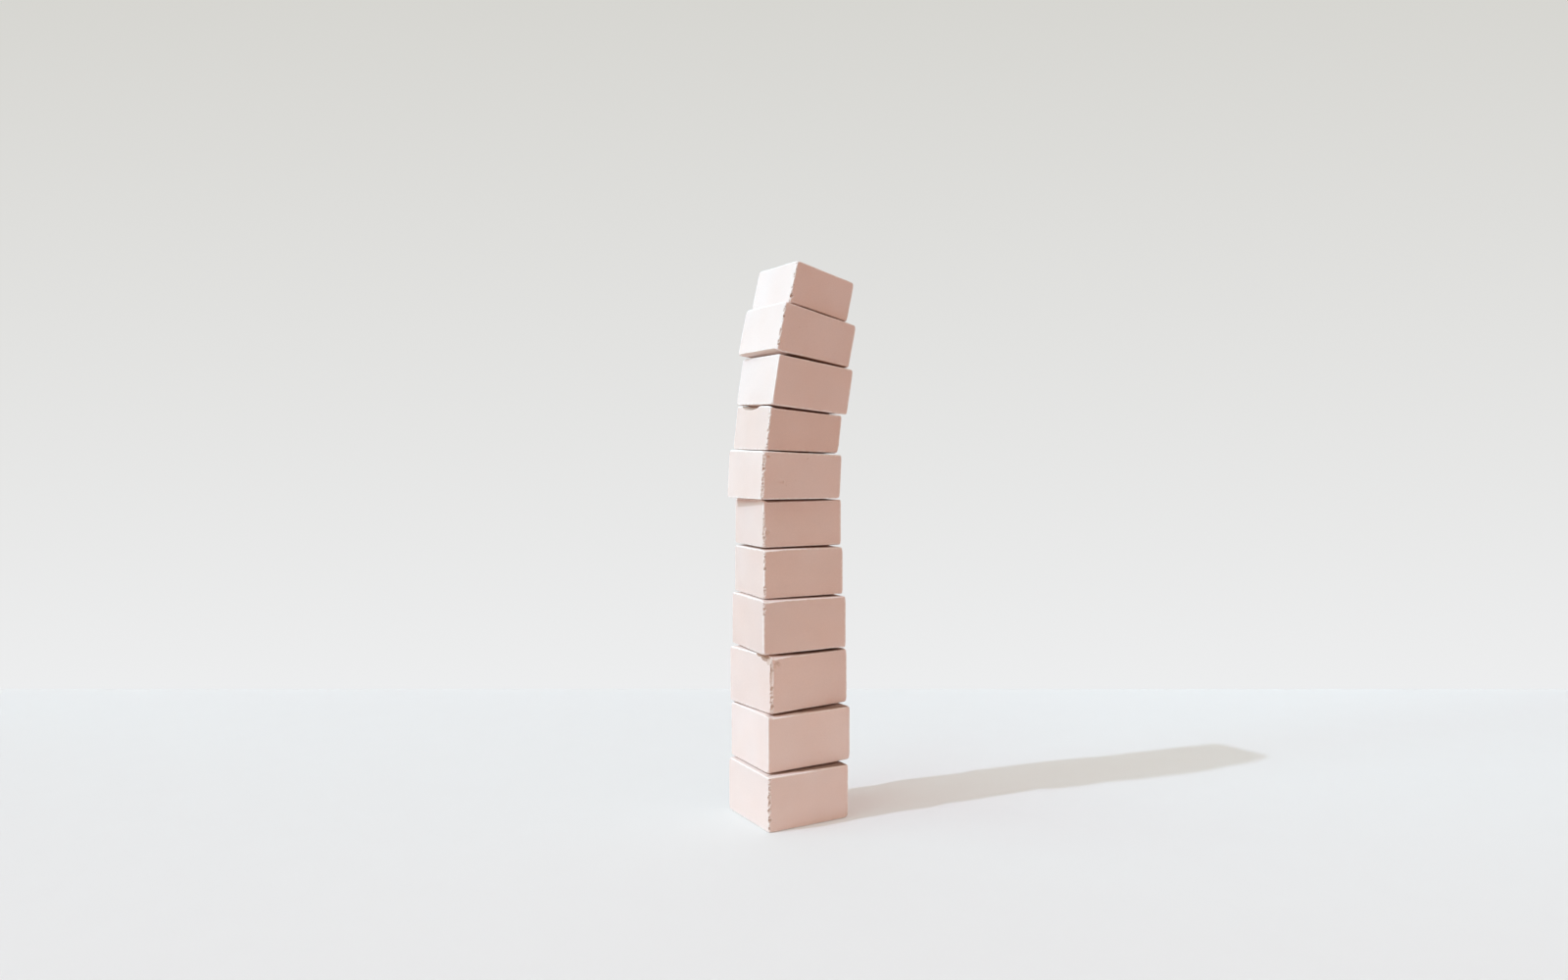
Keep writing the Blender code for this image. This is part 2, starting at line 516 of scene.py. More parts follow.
def rim_wear(rim, points, half):
    """How much is worn off at each point of a foot or top. Most at its rim, nothing further in."""
    share = points[:, :2] / half[:2]
    worn = np.zeros(len(points))
    for number, side in enumerate(SIDES):
        start, end = rim[number]
        before, after = rim[number - 1][1], rim[(number + 1) % len(SIDES)][0]
        length = 2 * half[:2] @ np.abs(side[::-1])
        along = (1 + share @ (-side[1], side[0])) / 2
        most = start + (end - start) * along
        most -= max(start - before, 0) * np.clip(1 - along * length / CORNER_LENGTH, 0, 1)
        most -= max(end - after, 0) * np.clip(1 - (1 - along) * length / CORNER_LENGTH, 0, 1)
        inset = (1 - share @ side) * (half[:2] @ np.abs(side)) / RIM_DEPTH
        worn = np.maximum(worn, most * (1 - np.clip(inset, 0, 1) ** 2))
    return worn


def rim_shift(level, points, half):
    """How far each point moves up or down for the worn rims, and how much its foot is worn there."""
    drift = 1 + RIM_DRIFT * soft_noise(points, DRIFT_LUMP, seed=RIM_SEED + level)
    up = rim_wear(FOOT_RIMS[level - 1], points, half) * drift
    down = rim_wear(TOP_RIMS[level - 1], points, half) * drift
    if level in RUBBED_EDGES:
        length, off = RUBBED_EDGES[level]
        left, front = (half + points)[:, :2].T
        slope = off * np.clip(1 - front / RUBBED_DEPTH, 0, 1)
        down += slope * np.clip(RUBBED_TAPER * (1 - left / length), 0, 1)
    above_foot = (points[:, 2] + half[2]) / (RIM_HEIGHT + RIM_STRETCH * up)
    below_top = (half[2] - points[:, 2]) / (RIM_HEIGHT + RIM_STRETCH * down)
    return up * np.clip(1 - above_foot, 0, 1) - down * np.clip(1 - below_top, 0, 1), up


print(len(RUBBED_EDGES), "tops have a rubbed front edge")

# %% [markdown]
# ## Dust, dirt and painted shade
# Dust gathers on a bed, where the next block stands, and some feet are dirty from the lawn. Both
# make the gaps between blocks look darker, and there, and on the front ledges of the lowest tops,
# the darkening is also painted shade. A painted picture of dirt would have to be laid out by
# hand, so here each point gets a number for it from how far it lies from the edges.

# %% Dust on tops, dirt on feet and painted shade in the gaps
# How far the clean rim of a bed reaches in, over how much it fades, in millimetres, and how dark
# the bed is further in, with dust and painted shade in the gap.
CLEAN_RIM = 6.0
CLEAN_FADE = 12.0
BED_SHARE = 0.38

# Levels whose front ledge is darkened: dirt there, and painted shadow of the block above. A strip
# at the very front is clean. It is widest at its near end and has no width at the other. Behind it
# the darkening goes in to its depth.
LEDGES = (1, 2, 3)
CLEAN_END = 12.0
LEDGE_FADE = 3.0
LEDGE_DEPTH = 13.0

# Blocks with a dark foot, from dirt and from painted shade in the gap under it. Its clean rim
# reaches in over some millimetres from its left, front, right and back side.
DIRTY_AND_SHADED_FEET = (2, 3, 4, 5, 10, 11)
FOOT_RIM = (30.0, 1.5, 1.5, 1.5)
FOOT_FADE = 3.0


def insets(points, half):
    """How far each point lies in from the left, front, right and back side, in millimetres."""
    return np.column_stack([half + points, half - points])[:, [0, 1, 3, 4]]


def bed_dust_and_shade(level, points, half):
    """How dark each point of a top is with dust and painted shade, from 0 to 1. The topmost block
    carries none and is clean.
    """
    inset = insets(points, half)
    dust = BED_SHARE * np.clip((inset.min(axis=1) - CLEAN_RIM) / CLEAN_FADE, 0, 1)
    if level in LEDGES:
        left, front, right, _ = inset.T
        clean = np.interp(left, (0, 2 * half[0]), (CLEAN_END, 0))
        dirt = np.clip((front - clean) / LEDGE_FADE, 0, 1) * np.clip(right / LEDGE_FADE, 0, 1)
        dust = np.maximum(dust, dirt * np.clip((LEDGE_DEPTH - front) / LEDGE_FADE + 1, 0, 1))
    return dust * (level < len(blocks))


def foot_dirt_and_shade(level, points, half):
    """How dark each point of a foot is with dirt and painted shade, from 0 to 1. Some blocks were set
    down on the lawn.
    """
    inset = insets(points, half) - FOOT_RIM
    return np.clip(inset.min(axis=1) / FOOT_FADE, 0, 1) * (level in DIRTY_AND_SHADED_FEET)


# The dark ledges and feet counted here are dirt and painted shade.
print(len(LEDGES), "tops have a dirty front ledge, and", len(DIRTY_AND_SHADED_FEET), "blocks a dirty foot")

# %% Break the chips out of a block
# How deep a break has to be before all its paint is gone, in millimetres.
BARE_DEPTH = 0.9

# Shaking takes three seeds for each level, one for each axis.
BREAK_SEED = 70
BREAK_SEEDS = 3


def broken_points(level, points, half):
    """The points with the chips and bites of a block broken out, their bareness and their tone."""
    balls = [chip_ball(chip, half) for chip in CHIPS if chip.level == level]
    for crumble in CRUMBLES:
        if crumble.level == level:
            balls += crumble_bites(crumble, half)
    bare = np.zeros(len(points))
    tone = np.zeros(len(points))
    loose = shaken(points, seed=BREAK_SEED + BREAK_SEEDS * level)
    for middle, reach, inward, broken_tone in balls:
        depth = break_out(loose, middle, reach, inward)
        points = points + depth[:, None] * inward
        loose = loose + depth[:, None] * inward
        bare = np.maximum(bare, np.clip(depth / BARE_DEPTH, 0, 1))
        tone = np.where(depth > 0, broken_tone, tone)
    return points, bare, tone


near_edge = np.array([[-1.0, -1.0, 0.0]])
for level, half in enumerate(halves, start=1):
    _, bare, _ = broken_points(level, near_edge * half, half)
    if bare[0]:
        print("the near edge of level", level, "is broken at half its height")

# %% Wear one block
# How wide the rub along an edge is, how deep a face dips and over what length, in millimetres.
RUB_WIDTH = 7.0
FACE_DIP = 0.22
DIP_LUMP = 38.0
DIP_SEED = 40

# A point within this many millimetres of a face lies on it.
ON_FACE = 1e-6

# What has to be worn off a foot, in millimetres, for its pale wood to begin to show and to be bare.
BARE_FOOT = (2.6, 4.2)
# Pale wood on a worn foot, which under the tenth block also stands for painted light thrown up from
# below.
BARE_FOOT_AND_LIGHT_TONE = 0.0


def worn_skin(level, block):
    """Points, faces and wear of one block, in millimetres from the middle of its foot."""
    half = block.size / 2
    chips = [chip for chip in CHIPS if chip.level == level]
    xs = grid_lines(block.size[0], FACE_STEP, EDGE_LINES, lines_for_chips(chips, 0, half))
    ys = grid_lines(block.size[1], FACE_STEP, EDGE_LINES, lines_for_chips(chips, 1, half))
    zs = grid_lines(block.size[2], HEIGHT_STEP, UPRIGHT_LINES)
    points, quads = grid_box(xs, ys, zs)
    points = points - half
    gaps = np.sort(half - np.abs(points), axis=1)
    edge = np.clip(1 - gaps[:, 1] / RUB_WIDTH, 0, 1)
    dips = FACE_DIP * np.abs(soft_noise(points, DIP_LUMP, seed=DIP_SEED + level)) * (1 - edge)
    on_face = np.abs(points) > half - ON_FACE
    sole = on_face[:, 2] * (points[:, 2] < 0)
    # The bed mark is dust or dirt on a top or foot, and painted shade in the gaps.
    bed = on_face[:, 2] * np.where(sole, foot_dirt_and_shade(level, points, half), bed_dust_and_shade(level, points, half))
    points = round_edges(points, half, edge_radius(level, points, half))
    points = points - np.sign(points) * on_face * dips[:, None]
    points, bare, tone = broken_points(level, points, half)
    shift, worn_off = rim_shift(level, points, half)
    bare_foot = sole * np.interp(worn_off, BARE_FOOT, (0, 1))
    bare = np.maximum(bare, bare_foot)
    tone = np.where(bare_foot > 0, BARE_FOOT_AND_LIGHT_TONE, tone)
    points[:, 2] += half[2] + shift
    points[:, 2] += (points[:, :2] @ block.slope) * (1 - points[:, 2] / block.size[2])
    return points, quads, {"edge": edge, "bare": bare, "tone": tone, "bed": bed}


print("each face dips by up to", FACE_DIP, "mm, and edges are rubbed over", RUB_WIDTH, "mm")


# %% Make the eleven blocks
def make_block(level, body):
    """One block as an object of its own, in its place in the stack."""
    points, quads, marks = worn_skin(level, blocks[body])
    mesh = bpy.data.meshes.new(body)
    mesh.from_pydata((points * MM).tolist(), [], quads.tolist())
    mesh.polygons.foreach_set("use_smooth", [True] * len(quads))
    for name, values in marks.items():
        mesh.attributes.new(name, "FLOAT", "POINT").data.foreach_set("value", values)
    mesh.update()
    made = bpy.data.objects.new(body, mesh)
    made.matrix_world = blocks[body].place
    bpy.context.scene.collection.objects.link(made)
    return made


tower = {}
for level, (body, (node,)) in enumerate(bodies.items(), start=1):
    tower[body] = make_block(level, body)
    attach(tower[body], body)
    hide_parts(node)
print("skins have", sum(len(made.data.polygons) for made in tower.values()), "faces in all")

# %% [markdown]
# ## Node groups for the paint
# The real paint is a matt, chalky blush. Seen close, it isn't one colour: it clouds a little from
# coat to coat, it is paler where edges are rubbed, which is also a painted highlight on the edges,
# and pale wood shows where it broke away. It was put on with a brush, whose strokes still show as a
# faint drag. Dust, dirt and painted shade darken the beds and the gaps between blocks.
#
# Each of these effects is a node group with named sockets. Every block's material uses the same
# groups with its own values, so a change to one group changes the whole tower.

# %% Helpers for node groups
SOCKETS = {"vector": "NodeSocketVector", "colour": "NodeSocketColor", "value": "NodeSocketFloat"}


def new_group(name, takes, gives):
    """An empty shader node group, with its input and output nodes."""
    tree = bpy.data.node_groups.new(name, "ShaderNodeTree")
    for label, kind in takes.items():
        tree.interface.new_socket(label, in_out="INPUT", socket_type=SOCKETS[kind])
    for label, kind in gives.items():
        tree.interface.new_socket(label, in_out="OUTPUT", socket_type=SOCKETS[kind])
    return tree, tree.nodes.new("NodeGroupInput"), tree.nodes.new("NodeGroupOutput")


def feed(tree, socket, value):
    """Links a socket, or sets it where the value is plain."""
    if isinstance(value, bpy.types.NodeSocket):
        tree.links.new(value, socket)
    else:
        socket.default_value = value


def add(tree, kind, settings=None, **inputs):
    """A node of that kind. An input is a number, a colour or a socket to link from."""
    made = tree.nodes.new("ShaderNode" + kind)
    for name, value in (settings or {}).items():
        setattr(made, name, value)
    for name, value in inputs.items():
        feed(tree, made.inputs[name.replace("_", " ")], value)
    return made


print("a group's sockets carry a", " or a ".join(SOCKETS))

# %% Helpers for sums and mixes
# The numbers of a Mix node's sockets when it mixes colours.
MIX_FACTOR, MIX_A, MIX_B, MIX_RESULT = 0, 6, 7, 2


def reckon(tree, operation, *values):
    """The result of a Math node."""
    made = add(tree, "Math", {"operation": operation})
    for socket, value in zip(made.inputs, values):
        feed(tree, socket, value)
    return made.outputs[0]


def mix_colour(tree, factor, first, second):
    """The result of mixing two colours."""
    made = add(tree, "Mix", {"data_type": "RGBA"})
    feed(tree, made.inputs[MIX_FACTOR], factor)
    feed(tree, made.inputs[MIX_A], first)
    feed(tree, made.inputs[MIX_B], second)
    return made.outputs[MIX_RESULT]


def stretch(tree, vector, scale):
    """A vector with each of its parts multiplied, which stretches a texture."""
    made = add(tree, "VectorMath", {"operation": "MULTIPLY"})
    feed(tree, made.inputs[0], vector)
    feed(tree, made.inputs[1], scale)
    return made.outputs[0]


print("a mix takes its colours at sockets", MIX_A, "and", MIX_B, "and gives one at", MIX_RESULT)

# %% [markdown]
# ### Clouding
# Two noises change how light the paint is: a broad one for uneven coats, and a fine one for the
# dusty specks of chalk paint. A third one lets its hue drift a little, because the coat is warmer
# where it is thin: it takes some green and more blue out of the colour, and leaves the red.

# %% The clouding group
CLOUD_SCALE = 13.0
SPECK_SCALE = 620.0
THIN_SCALE = 9.0

# A noise texture drifts about this value.
NOISE_MIDDLE = 0.5

# How much more blue than green is lost where the coat is thin, as a share.
BLUE_LOSS = 0.6

clouding, taken, given = new_group(
    "chalk clouding",
    {"Vector": "vector", "Paint": "colour", "Cloud": "value", "Speck": "value", "Warm": "value"},
    {"Colour": "colour"},
)
cloud = add(clouding, "TexNoise", Vector=taken.outputs["Vector"], Scale=CLOUD_SCALE, Detail=3.0)
speck = add(clouding, "TexNoise", Vector=taken.outputs["Vector"], Scale=SPECK_SCALE, Detail=1.0)
broad = reckon(clouding, "SUBTRACT", cloud.outputs["Fac"], NOISE_MIDDLE)
fine = reckon(clouding, "SUBTRACT", speck.outputs["Fac"], NOISE_MIDDLE)
broad = reckon(clouding, "MULTIPLY", broad, taken.outputs["Cloud"])
fine = reckon(clouding, "MULTIPLY_ADD", fine, taken.outputs["Speck"], broad)
level_of_light = reckon(clouding, "ADD", fine, 1.0)
scaled = add(clouding, "VectorMath", {"operation": "SCALE"})
feed(clouding, scaled.inputs[0], taken.outputs["Paint"])
feed(clouding, scaled.inputs["Scale"], level_of_light)
thin = add(clouding, "TexNoise", Vector=taken.outputs["Vector"], Scale=THIN_SCALE, Detail=2.0)
thin = reckon(clouding, "SUBTRACT", thin.outputs["Fac"], NOISE_MIDDLE)
thin = reckon(clouding, "MULTIPLY", thin, taken.outputs["Warm"])
green = reckon(clouding, "SUBTRACT", 1.0, thin)
blue = reckon(clouding, "SUBTRACT", green, reckon(clouding, "MULTIPLY", thin, BLUE_LOSS))
tint = add(clouding, "CombineXYZ", X=1.0, Y=green, Z=blue)
feed(clouding, given.inputs["Colour"], stretch(clouding, scaled.outputs[0], tint.outputs[0]))
print(clouding.name, "has", len(clouding.nodes), "nodes")

# %% [markdown]
# ### Rubbed and broken places, painted highlight and shade
# The edge attribute fades away from an edge in an even band, which would look sprayed on. A noise
# is taken from it before it is cut to a mask, so that the rub comes and goes. Its paler paint is also
# a painted highlight on the edges. The bare attribute is treated in the same way, with a harder cut,
# because paint flakes off with a sharp border. So is the bed, where the sliding of blocks has rubbed
# dust and dirt into the paint, with broader smears, and where the darkening is also painted shade
# in the gaps.

# %% The wear group
# How a mark becomes a mask: the scale and detail of a noise, the share of it that is taken from the
# mark, and the values between which the rest goes from 0 to 1.
Cut = namedtuple("Cut", "scale detail share low high")
RUB_AND_HIGHLIGHT_CUT = Cut(140.0, 4.0, 0.8, 0.1, 0.5)
BREAK_CUT = Cut(700.0, 2.0, 0.6, 0.05, 0.3)
BED_CUT = Cut(45.0, 2.0, 0.6, 0.0, 0.4)


def ragged_mask(tree, where, amount, cut):
    """A mask from 0 to 1, cut from an amount after a noise is taken from it."""
    noise = add(tree, "TexNoise", Vector=where, Scale=cut.scale, Detail=cut.detail).outputs["Fac"]
    ragged = reckon(tree, "MULTIPLY_ADD", noise, -cut.share, amount)
    return add(tree, "MapRange", Value=ragged, From_Min=cut.low, From_Max=cut.high).outputs["Result"]


# Rub that is also a painted highlight, breaks, and dust that is also painted shade become masks here.
wear, taken, given = new_group(
    "edge wear and painted light",
    {"Vector": "vector", "Edge": "value", "Bare": "value", "Bed": "value", "Rub": "value"},
    {"Rubbed and highlit": "value", "Broken": "value", "Dusty and shaded": "value"},
)
where = taken.outputs["Vector"]
# The rubbed mask is worn paint and a painted highlight on the edges.
rubbed = ragged_mask(wear, where, taken.outputs["Edge"], RUB_AND_HIGHLIGHT_CUT)
broken = ragged_mask(wear, where, taken.outputs["Bare"], BREAK_CUT)
dusty_and_shaded = ragged_mask(wear, where, taken.outputs["Bed"], BED_CUT)
feed(wear, given.inputs["Rubbed and highlit"], reckon(wear, "MULTIPLY", rubbed, taken.outputs["Rub"]))
feed(wear, given.inputs["Broken"], broken)
feed(wear, given.inputs["Dusty and shaded"], dusty_and_shaded)
print(wear.name, "has", len(wear.nodes), "nodes")

# %% [markdown]
# ### Brush drag
# A brush leaves shallow grooves along its stroke. A noise that is stretched along the block's width
# gives them, and a much finer one adds the tooth of the chalk. Together they make a height that a
# Bump node can use.

# %% The brush drag group
STROKE_STRETCH = (9.0, 150.0, 150.0)
TOOTH_SCALE = 900.0

# How rough the paint is along the strokes, from the least to the most.
DULLNESS = (0.80, 0.94)

drag, taken, given = new_group(
    "brush drag",
    {"Vector": "vector", "Tooth": "value"},
    {"Height": "value", "Dullness": "value"},
)
along = stretch(drag, taken.outputs["Vector"], STROKE_STRETCH)
stroke = add(drag, "TexNoise", Vector=along, Scale=1.0, Detail=4.0).outputs["Fac"]
tooth = add(drag, "TexNoise", Vector=taken.outputs["Vector"], Scale=TOOTH_SCALE, Detail=2.0)
height = reckon(drag, "MULTIPLY_ADD", tooth.outputs["Fac"], taken.outputs["Tooth"], stroke)
dull = add(drag, "MapRange", Value=stroke, To_Min=DULLNESS[0], To_Max=DULLNESS[1])
feed(drag, given.inputs["Height"], height)
feed(drag, given.inputs["Dullness"], dull.outputs["Result"])
print(drag.name, "has", len(drag.nodes), "nodes")

# %% [markdown]
# ## The paint of each block
# All blocks came out of one tin, but no two dried alike, so each has a slightly different shade and
# its own amount of rub. The groups supply colour, masks and height. The shader itself stays in the
# material, where its plain values can be read at a glance.
#
# The texture coordinates are the block's own, so the pattern is fixed to the wood and slides along
# with it. A shift for each level keeps two blocks from having the same clouds.

# %% Colours and coats
BLUSH = (0.80, 0.62, 0.55)
# Paint that is pale where edges are rubbed, and also a painted highlight on the edges.
RUBBED_AND_HIGHLIGHT_PAINT = (0.93, 0.83, 0.77, 1)
PALE_WOOD = (0.86, 0.69, 0.60, 1)
# Dark wood, which on the flake and the scoop also stands for painted shade.
DARK_WOOD_AND_SHADE = (0.40, 0.23, 0.155, 1)
# Dust on the beds, which also stands for painted shade in the gaps and on the lowest ledges.
BED_DUST_AND_SHADE = (0.34, 0.22, 0.17, 1)

# The coat on each block, from the floor up: its lightness, its warmth and the rub of its edges.
Coat = namedtuple("Coat", "shade warmth rub")
COATS = (
    Coat(1.035, -0.025, 0.75),
    Coat(1.05, -0.020, 0.65),
    Coat(1.01, -0.005, 0.90),
    Coat(0.97, 0.010, 0.80),
    Coat(0.965, 0.020, 0.80),
    Coat(0.965, 0.020, 0.80),
    Coat(0.995, 0.000, 0.90),
    Coat(0.955, 0.035, 0.80),
    Coat(1.00, -0.010, 0.75),
    Coat(1.01, -0.015, 0.80),
    Coat(1.02, -0.020, 0.70),
)
print(len(COATS), "coats, from shade", min(COATS).shade, "to", max(COATS).shade)


# %% Place a group and read a mark
def use(tree, group, **inputs):
    """A node that places a group in a material, with its own values."""
    made = tree.nodes.new("ShaderNodeGroup")
    made.node_tree = group
    for name, value in inputs.items():
        feed(tree, made.inputs[name], value)
    return made


def mark(tree, name):
    """One of the numbers that every point of a skin carries."""
    return add(tree, "Attribute", {"attribute_name": name}).outputs["Fac"]


print("groups to place:", ", ".join(group.name for group in (clouding, wear, drag)))

# %% The colour of broken wood
# How a noise is stretched into fibres, and how much they and the tone darken the wood. Where the
# tone is high on the flake and the scoop, that darkening is also painted shade.
FIBRE_STRETCH = (60.0, 400.0, 400.0)
FIBRE_SHARE = 0.3
TONE_SHARE = 0.85


def broken_wood(tree, where):
    """The wood under the paint, darker along its fibres and by the tone of the break, which on two
    chips is painted shade too.
    """
    fibres = add(tree, "TexNoise", Vector=stretch(tree, where, FIBRE_STRETCH), Scale=1.0)
    fibre_tone = reckon(tree, "MULTIPLY", fibres.outputs["Fac"], FIBRE_SHARE)
    wood_tone = reckon(tree, "MULTIPLY_ADD", mark(tree, "tone"), TONE_SHARE, fibre_tone)
    return mix_colour(tree, wood_tone, PALE_WOOD, DARK_WOOD_AND_SHADE)


print("wood goes from", PALE_WOOD[:3], "to", DARK_WOOD_AND_SHADE[:3])

# %% Paint the blocks
# How far the pattern shifts from one level to the next, in metres along X, Y and Z.
PATTERN_SHIFT = (0.37, 0.53, 0.71)

# What a warm coat loses in blue for each part that it loses in green.
BLUE_WARMTH = 1.6

# How strong the clouds, the specks, the drift of hue and the tooth of the chalk are.
PAINT_CLOUDS = {"Cloud": 0.10, "Speck": 0.10, "Warm": 0.12}
TOOTH = 0.5

# The height of the strokes, in metres, the share of it that shows, and the strength of reflections.
STROKE_HEIGHT = 0.0006
STROKE_SHARE = 0.35
SHINE = 0.3


def blush_paint(level):
    """The chalky paint of one block."""
    made = bpy.data.materials.new(f"blush paint {level:02d}")
    made.use_nodes = True
    tree = made.node_tree
    shader = tree.nodes["Principled BSDF"]
    own = add(tree, "TexCoord").outputs["Object"]
    shifted = add(tree, "VectorMath", {"operation": "ADD"})
    feed(tree, shifted.inputs[0], own)
    feed(tree, shifted.inputs[1], tuple(part * level for part in PATTERN_SHIFT))
    where = shifted.outputs[0]
    edge, bare, bed = (mark(tree, name) for name in ("edge", "bare", "bed"))
    coat = COATS[level - 1]
    tints = (1, 1 - coat.warmth, 1 - BLUE_WARMTH * coat.warmth)
    paint = [coat.shade * tint * part for tint, part in zip(tints, BLUSH)] + [1]
    clouds = use(tree, clouding, Vector=where, Paint=paint, **PAINT_CLOUDS)
    worn = use(tree, wear, Vector=where, Edge=edge, Bare=bare, Bed=bed, Rub=coat.rub)
    strokes = use(tree, drag, Vector=where, Tooth=TOOTH)
    # Rubbed edges and painted highlight lighten the colour here.
    colour = mix_colour(tree, worn.outputs["Rubbed and highlit"], clouds.outputs["Colour"], RUBBED_AND_HIGHLIGHT_PAINT)
    # Dust and painted shade on the beds and feet darken the colour here.
    colour = mix_colour(tree, worn.outputs["Dusty and shaded"], colour, BED_DUST_AND_SHADE)
    colour = mix_colour(tree, worn.outputs["Broken"], colour, broken_wood(tree, where))
    height = strokes.outputs["Height"]
    bump = add(tree, "Bump", Strength=STROKE_SHARE, Distance=STROKE_HEIGHT, Height=height)
    feed(tree, shader.inputs["Base Color"], colour)
    feed(tree, shader.inputs["Roughness"], strokes.outputs["Dullness"])
    feed(tree, shader.inputs["Normal"], bump.outputs["Normal"])
    shader.inputs["Specular IOR Level"].default_value = SHINE
    return made


for level, body in enumerate(tower, start=1):
    tower[body].data.materials.append(blush_paint(level))
print("painted", len(tower), "blocks")

# %% [markdown]
# ## The studio
# The tower stands on a pale floor in front of a pale wall. Both are stage and not part of the
# object, and both throw light back as any paint does. The camera, though, sees the wall in plain
# pale tones, and the floor partly so, which keeps the shadow on it pale. The wall is drawn on one
# side only: seen from behind it lets the view through, so that the back of the tower can be looked
# at as well.

# %% A sheet of stage
STAGE_CLOUDS = {"Cloud": 0.02, "Speck": 0.01, "Warm": 0.0}
STAGE_ROUGHNESS = 0.9


def stage_sheet(name, corners, paint):
    """A flat sheet of stage, in matt paint."""
    mesh = bpy.data.meshes.new(name)
    mesh.from_pydata(corners, [], [range(len(corners))])
    made = bpy.data.objects.new(name, mesh)
    bpy.context.scene.collection.objects.link(made)
    finish = bpy.data.materials.new(name)
    finish.use_nodes = True
    tree = finish.node_tree
    shader = tree.nodes["Principled BSDF"]
    where = add(tree, "TexCoord").outputs["Object"]
    clouds = use(tree, clouding, Vector=where, Paint=(*paint, 1), **STAGE_CLOUDS)
    feed(tree, shader.inputs["Base Color"], clouds.outputs["Colour"])
    shader.inputs["Roughness"].default_value = STAGE_ROUGHNESS
    mesh.materials.append(finish)
    return made


print("a stage sheet is matt, with a roughness of", STAGE_ROUGHNESS)

# %% What the camera sees of the stage
# The floor's plain tone and its share, and the wall's plain tones at its foot and at its top. The
# darker top is painted shade.
FLOOR_SEEN = (0.81, 0.815, 0.82, 1)
FLOOR_SHARE = 0.25
WALL_SEEN_LOW = (0.85, 0.855, 0.86, 1)
WALL_SEEN_HIGH = (0.62, 0.61, 0.565, 1)

# The wall's width and height, in metres.
WALL_SIZE = (5.2, 2.6)


def choose(tree, factor, first, second):
    """The result of mixing two shaders."""
    made = tree.nodes.new("ShaderNodeMixShader")
    for socket, value in zip(made.inputs, (factor, first, second)):
        tree.links.new(value, socket)
    return made.outputs[0]


def seen_rays(tree):
    """1 for what the camera sees, also by way of a reflection or through glass, and 0 for light."""
    path = add(tree, "LightPath").outputs
    straight = reckon(tree, "MAXIMUM", path["Is Camera Ray"], path["Is Glossy Ray"])
    return reckon(tree, "MAXIMUM", straight, path["Is Transmission Ray"])


def soften(sheet):
    """Shows a sheet partly in a plain pale tone, so that a shadow on it is lighter."""
    tree = sheet.active_material.node_tree
    lit = tree.nodes["Principled BSDF"].outputs[0]
    plain = add(tree, "Emission", Color=FLOOR_SEEN).outputs[0]
    share = reckon(tree, "MULTIPLY", seen_rays(tree), FLOOR_SHARE)
    tree.links.new(choose(tree, share, lit, plain), tree.nodes["Material Output"].inputs["Surface"])


def backdrop(sheet):
    """Shows a sheet in plain pale tones, with painted shade that darkens it higher up, and opens it
    from behind.
    """
    tree = sheet.active_material.node_tree
    lit = tree.nodes["Principled BSDF"].outputs[0]
    height = add(tree, "SeparateXYZ", Vector=add(tree, "TexCoord").outputs["Object"]).outputs["Z"]
    share = add(tree, "MapRange", Value=height, From_Max=WALL_SIZE[1]).outputs["Result"]
    # The wall is shown darker higher up: painted shade.
    tone = mix_colour(tree, share, WALL_SEEN_LOW, WALL_SEEN_HIGH)
    plain = add(tree, "Emission", Color=tone).outputs[0]
    front = choose(tree, seen_rays(tree), lit, plain)
    through = add(tree, "BsdfTransparent").outputs[0]
    one_sided = choose(tree, add(tree, "NewGeometry").outputs["Backfacing"], front, through)
    tree.links.new(one_sided, tree.nodes["Material Output"].inputs["Surface"])


print("the wall's plain tone darkens over", WALL_SIZE[1], "m")

# %% Floor and wall
FLOOR_PAINT = (0.80, 0.757, 0.718)
WALL_PAINT = (0.92, 0.93, 0.92)

# The size of the round floor, and how far the wall is behind the tower, in metres.
FLOOR_RADIUS = 2.5
FLOOR_SIDES = 96
WALL_AWAY = 1.05

# The camera looks this far to the right of the Y axis, in degrees, and the wall faces it.
LOOK_TURN = 30
LOOK = Vector((np.sin(np.radians(LOOK_TURN)), np.cos(np.radians(LOOK_TURN)), 0))

turns = np.linspace(0, 2 * np.pi, FLOOR_SIDES, endpoint=False)
rim = [(FLOOR_RADIUS * np.cos(turn), FLOOR_RADIUS * np.sin(turn), 0) for turn in turns]
floor = stage_sheet("floor", rim, FLOOR_PAINT)
soften(floor)
aside = Vector((LOOK.y, -LOOK.x, 0)) * WALL_SIZE[0] / 2
base = LOOK * WALL_AWAY
rise = Vector((0, 0, WALL_SIZE[1]))
corners = [base - aside, base + aside, base + aside + rise, base - aside + rise]
wall = stage_sheet("wall", corners, WALL_PAINT)
backdrop(wall)
print("stage:", floor.name, "and", wall.name)

# %% [markdown]
# ## Light
# The sun stands half way up the sky on the left, a little behind the tower, and lights the left
# faces and the tops. A broad soft light from the same side stands for the sky, and the faces on the
# right get only what the floor and the room throw back, which is warmer. Sun lamps are used for
# both, because their light is as strong at the top of the tower as at its foot. One soft lamp high
# on the left does reach the top more than the foot, so the upper blocks are the brightest.
#
# The room is darker below than above. What lights the faces on the right from below is then the
# round floor, which the low blocks see more of than the high ones.

# %% Sun and sky
# The way a lamp's light travels, its strength and colour, and how wide it is, in degrees.
Lamp = namedtuple("Lamp", "name travel strength colour angle")
LAMPS = (
    Lamp("sun", (0.710, -0.117, -0.695), 1.80, (0.56, 0.74, 1.0), 1.2),
    Lamp("sky", (0.698, -0.115, -0.707), 1.36, (0.43, 0.92, 1.0), 60),
)

